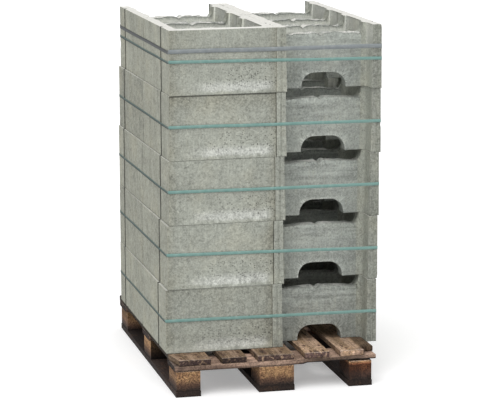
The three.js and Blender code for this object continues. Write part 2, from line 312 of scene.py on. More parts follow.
def round_corner(move, points, axes, corner, side, radius, on):
    """Adds to move the shifts that turn the square corner of a hollow into a quarter ellipse.

    axes are the two axes of its plane, corner is the corner's place, side says which way the hollow
    lies from it, and on marks the points of the hollow's walls. A point on either wall, within the
    radius of the corner, goes to the ellipse at an angle in step with its distance.
    """
    u, v = ((points[:, axis] - place) * way for axis, place, way in zip(axes, corner, side))
    near = on & within(u, 0.0, radius[0]) & within(v, 0.0, radius[1])
    first = near & (v < TINY)
    moved = first | (near & (u < TINY))
    turn = np.where(first, 1.0 - u / radius[0], 1.0 - v / radius[1]) * math.pi / 4
    shares = 1 - np.sin(turn), 1 - np.cos(turn)
    for axis, place, way, reach, (own, other) in zip(axes, (u, v), side, radius, (shares, shares[::-1])):
        move[:, axis] += np.where(moved, (reach * np.where(first, own, other) - place) * way, 0.0)


def sleeve(rows, columns, closed=False):
    """Quads from each row of points to the next, round their columns; closed joins the last to the first."""
    row, column = np.meshgrid(np.arange(rows if closed else rows - 1), np.arange(columns), indexing="ij")
    ahead, beside = (row + 1) % rows, (column + 1) % columns
    return np.stack([row * columns + column, ahead * columns + column, ahead * columns + beside,
                     row * columns + beside], -1).reshape(-1, 4)


def put_mesh(name, points, quads, attributes=(), crease=40.0):
    """Puts arrays into a mesh object at the origin, smooth but for edges sharper than the crease angle."""
    mesh = bpy.data.meshes.new(name)
    mesh.vertices.add(len(points))
    mesh.vertices.foreach_set("co", np.ascontiguousarray(points, np.float32).ravel())
    mesh.loops.add(quads.size)
    mesh.loops.foreach_set("vertex_index", np.ascontiguousarray(quads, np.int32).ravel())
    mesh.polygons.add(len(quads))
    mesh.polygons.foreach_set("loop_start", np.arange(0, quads.size, 4, dtype=np.int32))
    mesh.update(calc_edges=True)
    mesh.validate()
    for label, values in dict(attributes).items():
        kind, field = ("FLOAT_VECTOR", "vector") if values.ndim == 2 else ("FLOAT", "value")
        layer = mesh.attributes.new(label, kind, "POINT")
        layer.data.foreach_set(field, np.ascontiguousarray(values, np.float32).ravel())
    mesh.shade_smooth()
    mesh.set_sharp_from_angle(angle=math.radians(crease))
    piece = bpy.data.objects.new(name, mesh)
    bpy.context.collection.objects.link(piece)
    return piece


def settle(piece, material, slot, *nodes):
    """Gives a finished piece its material and its body, and hides the frame's nodes that it stands for; the
    slot is not used.
    """
    piece.data.materials.append(material)
    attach(piece, "root")
    if nodes:
        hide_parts(*nodes)


def node_box(node):
    """The low and high corners of a node of the frame, as arrays."""
    low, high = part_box(node)
    return np.array(low), np.array(high)


# ---- Shader maths ----

class Value:
    """A socket that can be added, multiplied and compared in an expression."""

    def __init__(self, graph, socket):
        self.graph, self.socket = graph, socket

    def math(self, operation, *others, clamp=False):
        return self.graph.out("Math", dict(enumerate((self, *others))), operation=operation, use_clamp=clamp)

    def __add__(self, other):
        return self.math("ADD", other)

    def __sub__(self, other):
        return self.math("SUBTRACT", other)

    def __rsub__(self, other):
        return self * -1.0 + other

    def __mul__(self, other):
        return self.math("MULTIPLY", other)

    __radd__, __rmul__ = __add__, __mul__

    def above(self, low, high):
        """0 below low, 1 above high, smooth between; the other way round where low is the larger."""
        return self.graph.out("MapRange", {"Value": self, "From Min": low, "From Max": high},
                              interpolation_type="SMOOTHSTEP")


class Graph:
    """The node tree of one material or world."""

    def __init__(self, owner):
        owner.use_nodes = True
        self.tree = owner.node_tree
        self.tree.nodes.clear()

    def node(self, kind, inputs=(), **settings):
        """One shader node: its settings first, then the values or links of its sockets."""
        node = self.tree.nodes.new("ShaderNode" + kind)
        for key, setting in settings.items():
            setattr(node, key, setting)
        for key, value in dict(inputs).items():
            if isinstance(value, Value):
                self.tree.links.new(value.socket, node.inputs[key])
            else:
                node.inputs[key].default_value = value
        return node

    def out(self, kind, inputs=(), output=0, **settings):
        return Value(self, self.node(kind, inputs, **settings).outputs[output])

    def attribute(self, name, output="Fac"):
        return self.out("Attribute", output=output, attribute_name=name)

    def attributes(self, names):
        return map(self.attribute, names.split())

    def part(self, vector, axis):
        """One coordinate of a vector."""
        return self.out("SeparateXYZ", {0: vector}, axis)

    def stretch(self, vector, *factors):
        return self.out("VectorMath", {0: vector, 1: factors}, operation="MULTIPLY")

    def noise(self, vector, scale, detail, roughness):
        inputs = {"Vector": vector, "Scale": scale, "Detail": detail, "Roughness": roughness}
        return self.out("TexNoise", inputs)

    def sway(self, vector, *more):
        """Noise about zero, from -0.5 to 0.5."""
        return self.noise(vector, *more) - 0.5

    def cells(self, vector, scale):
        """Distance to the nearest scattered point, and a fixed number for each point's cell."""
        node = self.node("TexVoronoi", {"Vector": vector, "Scale": scale}, feature="F1")
        colours = Value(self, node.outputs["Color"])
        return Value(self, node.outputs["Distance"]), self.out("SeparateColor", {0: colours})

    def spots(self, vector, scale, near, picked):
        """Spots about scattered points: near is the range of distances, picked that of the cells' numbers."""
        distance, cell = self.cells(vector, scale)
        return distance.above(*near) * cell.above(*picked)

    def mix(self, factor, first, second):
        """The second colour over the first by a factor: 0, 6 and 7 are the colour sockets, 2 the result."""
        first, second = (tint if isinstance(tint, Value) else (*tint, 1.0) for tint in (first, second))
        return self.out("Mix", {0: factor, 6: first, 7: second}, 2, data_type="RGBA")

    def coats(self, tint, *coats):
        """A colour under coats of others, each given by its factor and colour."""
        for factor, coat in coats:
            tint = self.mix(factor, tint, coat)
        return tint

    def tone(self, tint, factor):
        """A colour made lighter or darker by a factor."""
        return self.out("VectorMath", {0: tint, "Scale": factor}, operation="SCALE")

    def seen(self):
        """1 for what the camera sees, also in a mirror or through glass, and 0 for other light."""
        kinds = ("Camera", "Glossy", "Transmission")
        rays = [self.out("LightPath", output=f"Is {kind} Ray") for kind in kinds]
        return rays[0].math("MAXIMUM", rays[1]).math("MAXIMUM", rays[2])

    def finish(self, tint, roughness, height, specular):
        """A plain surface with its colour, roughness, a bump of a height in metres, and a specular level."""
        bump = self.out("Bump", {"Height": height, "Distance": 1.0, "Strength": 1.0})
        surface = self.out("BsdfPrincipled", {"Base Color": tint, "Roughness": roughness,
                                              "Specular IOR Level": specular, "Normal": bump})
        self.node("OutputMaterial", {"Surface": surface})


def material(name):
    """A new material, and the graph that draws it."""
    made = bpy.data.materials.new(name)
    return made, Graph(made)


def concrete_material(s):
    """Cast concrete: gritty grain, soft clouds and olive stains. A closed end has painted shade at its edges,
    a darker band under the strap, a top darkened partly by a stain and partly by a painted shadow, and pits
    and a white gritty band towards its foot. Level faces carry pale dust that also stands in for the light
    from above. Painted light and shade lie on the inner walls, in the grooves and seams and on the shell
    ends, and the arrises carry a painted highlight."""
    made, graph = material("cast_concrete")
    # The first tint is the grey of the painted light on the inner walls, the second that of the white gritty
    # band.
    painted_light_tint, band_tint = (0.345, 0.350, 0.325), (0.50, 0.51, 0.485)
    cast = graph.attribute("cast", "Vector")
    across, tone, broken, closed, stain, rise, web, side, bright, hollow, arris, dust = graph.attributes(
        "across tone broken closed stain rise web side bright hollow arris dust")
    up = graph.part(graph.out("NewGeometry", output="Normal"), 2)

    cloud = graph.sway(cast, 6.0, 3.0, 0.6)
    blotch = graph.sway(cast, 22.0, 3.0, 0.65)
    mottle = graph.sway(cast, 60.0, 3.0, 0.65)
    grain = graph.sway(cast, 135.0, 3.0, 0.75)
    sand = graph.sway(cast, 400.0, 2.0, 0.6)
    streak = graph.sway(graph.stretch(cast, 1.0, 1.0, 0.12), 120.0, 3.0, 0.6)
    curtain = graph.sway(graph.stretch(cast, 1.0, 1.0, 0.22), 16.0, 3.0, 0.6)
    band = graph.sway(graph.stretch(cast, 0.10, 0.10, 1.0), 60.0, 3.0, 0.6)

    edge = (across.math("ABSOLUTE") + mottle * 0.10).above(0.80, 1.0)
    top = (rise + cloud * 0.3).above(0.62, 1.0)
    under_strap = rise.above(0.40, 0.47) * rise.above(0.53, 0.50)
    pitted = closed * (rise + blotch * 0.25).above(0.52, 0.34) * rise.above(0.06, 0.16)
    pitted = pitted * (0.25 + (across + blotch * 3.0).above(-0.4, 0.4))
    pale_band = rise + blotch * 0.07 + mottle * 0.09
    pale_band = pale_band.above(0.25, 0.12) * pale_band.above(0.02, 0.08)
    pale_band = pale_band * (across + cloud * 1.6).above(-0.75, -0.1)
    pale_band = closed * pale_band * (1.0 - edge)
    pit = graph.spots(graph.stretch(cast, 1.0, 1.0, 1.5), 125.0, (0.42, 0.20), (0.62, 0.70)) * (0.08 + pitted)
    pin = graph.spots(cast, 230.0, (0.42, 0.18), (0.80, 0.86))
    fleck = graph.spots(cast, 150.0, (0.42, 0.20), (0.95, 0.97))

    level = (1.0 + cloud * 0.42 + blotch * (0.44 - web * 0.12 + side * 0.12) + mottle * (0.74 - web * 0.26)
             + grain * 1.35 + sand * 0.6 + streak * (0.30 - side * 0.15) + curtain * (0.22 + side * 0.24)
             + band * web * (0.35 + rise.above(0.45, 0.70) * 1.15))
    # Each face's tone and the painted light and shade from block_shape are added to the level.
    level = level + tone + bright + web * (rise.above(0.30, 0.66) * 0.13 - 0.07)
    # Painted shade darkens the closed end at its edges and towards its sides. The closed end is also darker
    # in a band just under the strap and a little lighter in its lower half. The stain setting darkens its
    # top, partly as a stain and partly as a painted shadow from the layer above.
    level = level - closed * (edge * 0.08 + under_strap * 0.07 * (0.6 + mottle * 3.0)) - stain * top * 0.14
    level = level + closed * (0.050 - across * across * (0.16 + cloud * 0.8))
    level = level + pale_band * (0.19 + grain * 0.9 + mottle * 0.4) + closed * rise.above(0.5, 0.3) * 0.05
    level = level * (1.0 - pit.math("MINIMUM", 1.0) * 0.47) * (1.0 - pin * 0.18) + fleck * 0.32
    # A painted highlight along the arrises.
    level = level + arris * (0.06 + grain * 0.5)
    # Painted shade in the splitting and key grooves, along the rear edge of the long sides, and in the seam
    # along each block's foot.
    level = level * (1.0 - hollow.math("MINIMUM", 1.0) * 0.66) * (1.0 - rise.above(0.014, 0.0) * 0.50)
    # A painted shadow: a thin dark line along the top of the closed end, under the foot of the layer above,
    # as strong as the stain setting.
    level = level * (1.0 - stain * (rise + mottle * 0.02).above(0.970, 0.988) * 0.50)
    olive = cloud.above(-0.05, 0.20) * 0.5 + edge * closed * 0.5 + side * 0.45 + top * stain * 0.35
    # The painted light tint goes where the painted light is strong.
    lit = bright.above(0.15, 0.60)
    # The cool tint of the webs is partly their own colour and partly the cool of the shade in the recess
    # (painted shade).
    tint = graph.coats(s.tint,
                       (web * (1.0 - lit) * 0.8, s.cool_web_and_shade),
                       (lit * 0.8, painted_light_tint),
                       (olive.math("MINIMUM", 1.0) * (1.0 - web * 0.6), s.warm),
                       (streak.above(0.06, 0.24) * 0.35, s.warm),
                       (pale_band * 0.55, band_tint))
    tint = graph.tone(tint, level.math("MAXIMUM", 0.08))
    torn = 1.0 - broken * (blotch + grain * 0.6).above(0.06, -0.04) * 0.75
    # Pale dust on the level faces, which also stands in for the light from above (painted light).
    dust_and_top_light = up.above(0.62, 0.94) * dust * torn * (0.90 + grain * 0.9 + mottle * 0.5)
    tint = graph.mix(dust_and_top_light.math("MINIMUM", 1.0, clamp=True), tint, s.pale)

    height = (grain * 0.0014 + sand * 0.0005 + mottle * 0.0012 - pit * 0.0020 - pin * 0.0008 + streak * 0.0003
              + pale_band * grain * 0.0016 + broken * grain * 0.0040)
    graph.finish(tint, 0.88 + grain * 0.15, height, 0.22)
    return made


def wood_material(name, light, dark, warm, chip=0.0):
    """Weathered timber: strands along the grain, knots, dark stains and splits, dark mottled ends and rust
    about the nails, or pressed chips instead of the strands. Both are wet and dirty near the floor. The
    grain attribute runs along the timber in x, across in y and through in z; low is 0 at the floor."""
    made, graph = material(name)
    chip_tint, red_tint, rust_tint = (0.50, 0.32, 0.15), (0.34, 0.110, 0.050), (0.150, 0.070, 0.035)
    end_tint, wear_and_highlight_tint = (0.090, 0.056, 0.050), (0.46, 0.370, 0.315)
    wet_tint, mud_tint = (0.058, 0.033, 0.026), (0.085, 0.046, 0.026)
    grain = graph.attribute("grain", "Vector")
    tone, lit, end, low, rust, arris, worn = graph.attributes("tone lit end low rust arris worn")

    knot = graph.spots(graph.stretch(grain, 4.0, 12.0, 12.0), 1.0, (0.20, 0.08), (0.66, 0.70))
    fibre = graph.sway(graph.stretch(grain, 9.0, 380.0, 380.0), 1.0, 4.0, 0.65)
    strand = graph.sway(graph.stretch(grain, 6.0, 105.0, 105.0), 1.0, 3.0, 0.65)
    band = graph.sway(graph.stretch(grain, 2.2, 30.0, 30.0), 1.0, 3.0, 0.6)
    stain = graph.sway(grain, 14.0, 4.0, 0.65)
    blot = graph.sway(grain, 70.0, 2.0, 0.6)
    speck = graph.sway(grain, 130.0, 3.0, 0.75)
    grit = graph.sway(grain, 330.0, 2.0, 0.7)
    split = graph.noise(graph.stretch(grain, 7.0, 150.0, 150.0), 1.0, 2.0, 0.5).above(0.36, 0.29)
    chip_distance, chip_number = graph.cells(graph.stretch(grain, 1.0, 1.0, 1.6), 210.0)
    spark = chip_distance.above(0.50, 0.25) * chip_number.above(0.80, 0.88)

    wood = 1.0 - chip
    # The arris term is a painted highlight along the edges.
    level = (0.95 + (fibre * 1.1 + strand * 0.9 + band * 0.7) * wood + stain * (0.8 + chip * 0.8)
             + speck * (2.8 + chip * 0.9) + grit * (2.2 + chip * 1.0) + (chip_number - 0.5) * chip * 0.50
             + blot * 0.7 + arris * wood * 0.30)
    mottled = end * wood * (1.0 - (speck * 1.4 + blot * 2.6).above(0.02, 0.40))
    tint = graph.coats(light,
                       ((band + strand * 0.5).above(-0.06, 0.12), warm),
                       ((stain + speck * 0.5).above(0.04, 0.17) * (0.76 - chip * 0.20), dark),
                       (spark * chip * (0.25 + stain.above(-0.1, 0.1) * 0.45), chip_tint),
                       ((stain * -1.0 + speck * 0.6).above(0.05, 0.20) * 0.55, warm),
                       ((knot * 0.85 + split * 0.8).math("MINIMUM", 1.0) * wood, dark),
                       (chip * tone.above(0.60, 0.25) * low.above(0.96, 0.88) * 0.72, red_tint),
                       (rust.above(0.0, 0.45) * 0.6, rust_tint),
                       (rust.above(0.45, 0.80), dark),
                       (mottled.math("MAXIMUM", 0.0), end_tint),
                       # The pale top next to the first end is partly wear and partly a painted highlight
                       # along that edge.
                       (worn * (0.70 + speck * 2.5).math("MAXIMUM", 0.0, clamp=True), wear_and_highlight_tint))
    tint = graph.tone(tint, level.math("MAXIMUM", 0.15) * tone)
    damp = low + stain * 0.24 + speck * 0.16
    wet = damp.above(0.60, 0.30)
    tint = graph.coats(tint,
                       (damp.above(0.74, 0.42) * 0.86, wet_tint),
                       (damp.above(0.46, 0.24), dark),
                       ((stain + speck * 0.8).above(0.04, 0.22) * wet * 0.5, mud_tint))
    # Painted light and shade from timber multiply the colour.
    tint = graph.tone(tint, lit * (1.0 + speck * 2.5 * wet).math("MAXIMUM", 0.3))
    height = ((fibre * 0.0010 + strand * 0.0012 - split * 0.0016) * wood + speck * (0.0006 + chip * 0.0020)
              + knot * wood * 0.0006 + grit * chip * 0.0008)
    graph.finish(tint, 0.84 + fibre * 0.2, height, 0.2)
    return made


def strap_material(name, tint, width, left_shade, left_rise):
    """Plastic strap: scuffs and dust, a painted highlight along its top edge and painted shade along its
    lower edge, and painted shade on the left, where left_rise is how much lighter its top edge is there."""
    made, graph = material(name)
    dust_tint, left_shade_tint = (0.36, 0.37, 0.34), (0.20, 0.20, 0.19)
    place = graph.attribute("along", "Vector")
    away = graph.attribute("away")
    rise = graph.part(place, 1) * (1.0 / width)
    scuff = graph.sway(graph.stretch(place, 14.0, 260.0, 1.0), 1.0, 4.0, 0.65)
    dust = graph.noise(place, 35.0, 4.0, 0.7)
    # Painted highlight along the top edge and painted shade along the lower edge; on the left the strap is
    # painted darker as shade.
    level = 0.98 + scuff * 0.6 + (dust - 0.5) * 0.5 + rise * (0.45 + away * left_rise)
    shade = graph.coats(tint, (dust.above(0.45, 0.75) * 0.30, dust_tint), (away * 0.15, left_shade_tint))
    shade = graph.tone(shade, level * (1.0 - away * (1.0 - left_shade)))
    graph.finish(shade, 0.55 + scuff * 0.4, scuff * 0.0002, 0.1)
    return made


def nail_material():
    """Dull steel with patches of rust."""
    made, graph = material("nail_steel")
    rust = graph.noise(graph.out("TexCoord", output="Object"), 300.0, 3.0, 0.7)
    tint = graph.mix(rust.above(0.35, 0.65), (0.045, 0.035, 0.032), (0.17, 0.075, 0.040))
    graph.finish(tint, 0.55 + (rust - 0.5) * 0.4, (rust - 0.5) * 0.0004, 0.5)
    return made


# ---- Blocks ----

ACROSS_STEP, ALONG_STEP, CHAMBER_STEP, UP_STEP = 6.0 * MM, 8.5 * MM, 14 * MM, 13 * MM
UNDER_RECESS = 11 * MM           # a lattice line this far under the floor of the recess
JAG_DROP, JAG_DEPTH = 0.03, 0.009   # the jagged rear edge of the top shells: how far down and in


class BlockPlan:
    """Where the walls, recess, arch and grooves of one block are: across in x about its middle, along in y
    from its front, and up in z. toward is the sign of x on the side that faces the other column, and
    leftward its sign on the pallet's left, where the haunches start close to the shell."""

    def __init__(self, size, s, layer, place, seed):
        self.dice = np.random.default_rng(seed)
        self.width, self.length, self.height = size
        self.row, self.top = layer - 1, layer == LAYERS[-1]
        self.closed = place == "front_left"
        self.toward = 1 if place in ("front_left", "rear_right") else -1
        self.leftward = 1 if place.startswith("rear") else -1
        self.half, self.inner = self.width / 2, self.width / 2 - s.shell
        rims = self.inner + s.draft - s.rim + self.dice.uniform(-0.008, 0.004, 2)
        rims[0 if self.leftward < 0 else 1] = self.inner - s.left_rim
        self.rim_left, self.rim_right = rims
        self.floor = self.inner + s.draft - s.rim - s.haunch
        self.recess = s.top_recess if self.top else s.recess
        self.floor_level = self.height - self.recess
        self.arch_half = s.arch_width / 2
        self.key_outer = self.half - s.key_place + s.key_width / 2
        self.key_inner = self.key_outer - s.key_width
        self.second = self.length - s.setback - s.web
        self.first = s.closed_wall if self.closed else s.setback + s.web
        self.first_fillet = s.closed_fillet if self.closed else s.fillet
        split = s.end_split if self.closed else s.open_split
        self.splits = split - s.split_width / 2, split + s.split_width / 2
        self.rooms = [(self.first, self.second, self.first_fillet, s.fillet),
                      (self.second + s.web, None, s.fillet, None)]
        if not self.closed:
            self.rooms.append((None, s.setback, None, s.fillet))

    def over_webs(self, y):
        """Where a web is open at the top and foot: anywhere but in the front half of the closed block."""
        return (y > self.length / 2) | (not self.closed)


def block_grid(b, s):
    """Lattice lines of a block along x, y and z: beside its edges and through its rounded corners."""
    across = [0.0, *(b.arch_half - s.arch_radius + s.arch_radius * BENDS), b.floor,
              *(b.inner - s.fillet * BENDS), *(b.inner + FINE[1:]), b.key_inner, b.key_outer,
              b.half - s.split_depth, *(b.half - FINE)]
    across += [*(-mark for mark in across), -s.notch_side, -b.rim_left, b.rim_right]
    web = [*(b.second - s.fillet * BENDS), *(b.second + FINE), *(b.second + s.web - FINE),
           *(b.second + s.web + s.fillet * BENDS)]
    front = [*FINE, b.first, *(b.first + b.first_fillet * BENDS), b.first - FINE[1]]
    if not b.closed:
        front += [*(s.setback - s.fillet * BENDS), *(s.setback + FINE), s.key_depth]
    chamber = lines([b.first + b.first_fillet, b.second - s.fillet], CHAMBER_STEP)
    along = [*front, *b.splits, *chamber, *web, b.length - s.key_depth, *(b.length - FINE)]
    up = [*FINE[:2], *(s.arch_height - s.arch_radius + s.arch_radius * BENDS), b.floor_level - UNDER_RECESS,
          b.floor_level, *(b.floor_level + b.recess * BENDS), *(b.height - FINE[:2])]
    return lines(across, ACROSS_STEP), lines(along, ALONG_STEP), lines(up, UP_STEP)


def hollow_cells(b, s, x, y, z):
    """Marks the cells, by their middles, that the chambers, recess, arch and grooves take away."""
    chamber = within(y, b.first, b.second) | (y > b.second + s.web) | ((y < s.setback) & (not b.closed))
    hollow = chamber & (abs(x) < b.inner)
    hollow |= b.over_webs(y) & within(x, -b.rim_left, b.rim_right) & (z > b.floor_level)
    hollow |= b.over_webs(y) & (abs(x) < b.arch_half) & (z < s.arch_height)
    hollow |= within(y, *b.splits) & (abs(x) > b.half - np.where(x * b.toward > 0.0, FINE[1], s.split_depth))
    keyed = (y > b.length - s.key_depth) | ((y < s.key_depth) & (not b.closed))
    return hollow | (keyed & within(abs(x), b.key_inner, b.key_outer))


def round_walls(b, s, points, move):
    """Leans the walls of each chamber out with height and rounds their upright corners."""
    x, y, z = points.T
    lean = s.draft * z / b.height
    for near, far, near_fillet, far_fillet in b.rooms:
        on = (abs(x) < b.inner + TINY) & within(y, near or 0.0, far or b.length)
        on &= touches(abs(x), b.inner) | touches(y, near or -1.0) | touches(y, far or -1.0)
        move[on, 0] += (lean * x / b.inner)[on]
        for wall, side, fillet in ((near, 1, near_fillet), (far, -1, far_fillet)):
            if wall is None:
                continue
            back = on & touches(y, wall)
            move[back, 1] -= side * lean[back]
            for flank in (-1, 1):
                round_corner(move, points, (0, 1), (flank * b.inner, wall), (-flank, side), (fillet,) * 2, on)


def round_webs(b, s, points, move, place, floor_points, on_recess, on_arch):
    """Rounds the haunches and the arch, crowns the web tops with a parabola and presses in the bar notch."""
    x = points[:, 0]
    for rim, flank in ((-b.rim_left, 1), (b.rim_right, -1)):
        haunch = (abs(rim) - b.floor, b.recess)
        round_corner(move, points, (0, 2), (rim, b.floor_level), (flank, 1), haunch, on_recess)
    from_notch = x + s.notch_side
    notch = fade(abs(from_notch + 2 * MM * noise(place, 0.02)), s.notch / 2)
    fall = np.clip(abs(from_notch) / (b.floor + np.sign(x) * s.notch_side), 0.0, 1.0)
    move[:, 2] += floor_points * (s.crown * (1.0 - fall ** 2) - s.notch_depth * notch)
    for flank in (-1, 1):
        shoulder = (flank * b.arch_half, s.arch_height)
        round_corner(move, points, (0, 2), shoulder, (-flank, -1), (s.arch_radius,) * 2, on_arch)


def bite_chips(b, s, shape, place, arris):
    """Bites a few round chips out of the arrises, most of them on the side that shows."""
    for _ in range(s.chips):
        flank = -b.toward if b.dice.random() < 0.85 else b.toward
        if b.dice.random() < 0.25:
            centre = (flank * b.half, b.dice.choice((0.0, b.length)), b.dice.uniform(0.0, b.height))
            outward = (flank, np.sign(centre[1] - 0.1), 0.0)
        elif b.dice.random() < 0.9:
            centre = (flank * b.half, b.dice.uniform(0.0, b.length), b.dice.choice((0.0, b.height)))
            outward = (flank, 0.0, np.sign(centre[2] - 0.1))
        else:
            centre = (flank * (b.inner + s.draft), b.dice.uniform(0.0, b.length), b.height)
            outward = (-flank, 0.0, 1.0)
        reach = b.dice.uniform(0.006, 0.012)
        outward = np.array(outward) / np.linalg.norm(outward)
        away = np.linalg.norm(shape - centre + 0.002 * noise(place, 0.008)[:, None], axis=1)
        bite = fade((away / reach) ** 2, 1.0) * reach * b.dice.uniform(0.14, 0.28)
        shape = shape - outward * bite[:, None]
        arris = np.maximum(arris, np.clip(bite / 0.002, 0.0, 0.9))
    return shape, arris


def block_shape(b, s, seed):
    """One hollow block as arrays: its points, quads and masks.

    The block is the skin of lattice cells: a box less its chambers, recess, arch and grooves. The
    walls of each chamber lean out with height, hollow corners become quarter ellipses, struck-off
    web tops are roughened and keep a torn burr along both edges, a closed end flares at its foot,
    arrises are softened by an uneven weight and a few chips are bitten out of them. The grooves that
    face the other column are filled up with dust.
    """
    grid = block_grid(b, s)
    points, quads, facing = lattice_shell(grid, ~hollow_cells(b, s, *middles(grid)))
    x, y, z = points.T.copy()
    move = np.zeros_like(points)
    place = points + seed * 1.7
    on_top, open_front, height = b.top, not b.closed, b.height

    floor_points = b.over_webs(y) & touches(z, b.floor_level) & within(x, -b.rim_left, b.rim_right)
    haunches = touches(x, -b.rim_left) | touches(x, b.rim_right)
    haunches &= b.over_webs(y) & (z > b.floor_level - TINY)
    on_recess = floor_points | haunches
    on_arch = b.over_webs(y) & (abs(x) < b.arch_half + TINY) & (z < s.arch_height + TINY)
    on_arch &= touches(abs(x), b.arch_half) | touches(z, s.arch_height)
    round_walls(b, s, points, move)
    round_webs(b, s, points, move, place, floor_points, on_recess, on_arch)

    outer_side, outer_end = touches(abs(x), b.half), touches(y, 0.0) | touches(y, b.length)
    closed_end = b.closed & touches(y, 0.0)
    back_off = 0.0003 * (1.0 + noise(place, 0.12))
    closed_joint = outer_side & (x * b.toward > 0.0) & (s.close_up[b.row] > 0.0)
    side_off = np.where(closed_joint, -s.close_up[b.row], back_off)
    move[:, 0] -= np.where(outer_side, np.sign(x) * side_off, 0.0)
    back_off += closed_end * s.flare * ramp(z, 0.004, s.flare_height)
    move[:, 1] -= np.where(outer_end, np.sign(y - b.length / 2) * back_off, 0.0)

    steep = haunches & ~floor_points
    torn = on_recess * s.grit[b.row] * b.dice.uniform(0.8, 1.2) * np.where(steep, 0.4, 1.0)
    edges = np.array([wall for near, far, _, _ in b.rooms for wall in (near, far) if wall is not None])
    burr = ramp(abs(y[:, None] - edges).min(1), 0.010, 0.002) * (ramp(noise(place, 0.021), -0.1, 0.5) - 0.25)
    move[:, 2] += torn * (0.55 * rough(place, 0.045) + 0.75 * rough(place + 9.0, 0.017) + 1.1 * burr)
    move[:, 1] += 0.6 * torn * rough(place + 4.0, 0.020)
    between = (abs(x) < b.inner + TINY) & ~on_recess & (z > TINY)
    room = between & (y > TINY)
    inside = room & (facing == 1)
    move[inside] += 0.0006 * rough(place[inside], 0.05)[:, None]
    move[:, 2] -= touches(z, height) * 0.0004 * (1.0 + noise(place, 0.03))

    jagged = on_top & (b.leftward > 0) & between & (x < TINY - b.inner)
    jagged = jagged & (z > b.floor_level - JAG_DROP) & (y < JAG_DEPTH)
    jagged = jagged * (0.2 + 0.8 * ramp(noise(place + 6.0, 0.013), -0.3, 0.4))
    move[:, 0] -= 0.0029 * jagged
    move[:, 1] += 0.0060 * jagged * ramp(y, JAG_DEPTH, 0.0)

    nicked = 0.15 + 0.40 * ramp(rough(place + 2.0, 0.024), 0.55, 1.1)
    nicked *= np.where(closed_joint, 0.3, 1.0)
    shape = soften(points + move, quads, (facing > 1) * ~on_recess * nicked + on_recess * 0.10)
    # A painted highlight along the arrises, strongest on the arch rims and then on the recess rims; the chips
    # below add to it.
    arris = (facing > 1) * np.where(on_arch, 5.5, np.where(on_recess, 3.0, 1.0))
    arris = soften(arris[:, None].repeat(3, 1), quads, np.full(len(arris), 0.5))[:, 0]
    shape, arris = bite_chips(b, s, shape, place, arris)
    shape[:, 2] = np.clip(shape[:, 2], 0.0, height)

    walls = touches(abs(x), b.inner) & room
    front_room = (y < s.setback + TINY) & open_front
    # Painted light on the inner walls in front of the webs, on the walls and webs inside the top layer, on
    # the rear walls of the fourth layer and low on the bottom layer's closed end; painted shade on the shell
    # ends of the open fronts, on the rear blocks' sides on the pallet's left and on the jagged shell edges.
    # Each layer's side and end tones are added too.
    bright = np.where(walls & (y < s.setback) & open_front, 0.22 if on_top else 0.02, 0.0)
    for where, amount, low, high in (
            (walls & on_top & front_room, 0.28, 0.3, 1.0),
            (room & on_top & ~front_room, np.where(walls, 0.54, 1.50), 0.50, 0.90),
            (walls & (b.row == len(LAYERS) - 2) & (y > b.second + s.web / 2), 0.9, 0.68, 0.84),
            (room & on_top & ~walls & front_room, 0.10, 0.36, 0.5),
            (closed_end & (b.row == 0), 0.35, 0.16, 0.04)):
        bright += where * amount * ramp(z, low * height, high * height)
    bright -= ((abs(x) > b.inner) & touches(y, 0.0) & open_front) * np.where(x > 0.0, 0.25, 0.06)
    bright += outer_side * s.side_tones[b.row] + closed_end * s.end_tones[b.row]
    bright -= (outer_side & (x > 0.0) & (b.leftward > 0)) * 0.07 + 0.8 * jagged

    in_split = within(y, *b.splits) & (abs(x) < b.half - TINY) & (abs(x) > b.inner + FINE[1])
    split_edge = outer_side & (touches(y, b.splits[0]) | touches(y, b.splits[1]))
    in_key = touches(y, s.key_depth) & open_front & within(abs(x), b.key_inner, b.key_outer)
    masks = {
        "cast": points + np.array((0.37, 0.53, 0.71)) * seed,
        "broken": on_recess,
        "closed": closed_end,
        "stain": closed_end * s.stains[b.row],
        "rise": z / height,
        "web": (abs(x) < b.inner - s.fillet) & ~closed_end,
        "side": outer_side,
        # Each face's tone, with the painted light and shade.
        "bright": bright,
        # Painted shade in the grooves and along the rear edge of the long sides.
        "hollow": in_split + split_edge * 0.7 + (outer_side & touches(y, b.length)) * 0.5
        + in_key * np.where(x > 0.0, 0.22, 0.06),
        "across": x / b.half,
        "dust": np.where(steep & (z < height - TINY), 0.25, s.dust[b.row]),
        "arris": arris,
        "tone": np.full(len(points), b.dice.uniform(-0.035, 0.035) + s.tones[b.row]),
    }
    return shape, quads, masks


def true_sides(low, high, turn):
    """Sides of a rectangle that stands turned in its box: the box's width is w cos + l sin of the turn,
    and its length w sin + l cos, which is solved for w and l."""
    cosine, sine = math.cos(turn), math.sin(turn)
    wide, deep, tall = high - low
    spread = cosine ** 2 - sine ** 2
    return np.array(((wide * cosine - deep * sine) / spread, (deep * cosine - wide * sine) / spread, tall))


def turned(points, turn, centre):
    """Points turned about the upright by an angle and moved to a centre."""
    cosine, sine = math.cos(turn), math.sin(turn)
    return points @ np.array(((cosine, sine, 0.0), (-sine, cosine, 0.0), (0.0, 0.0, 1.0))) + centre


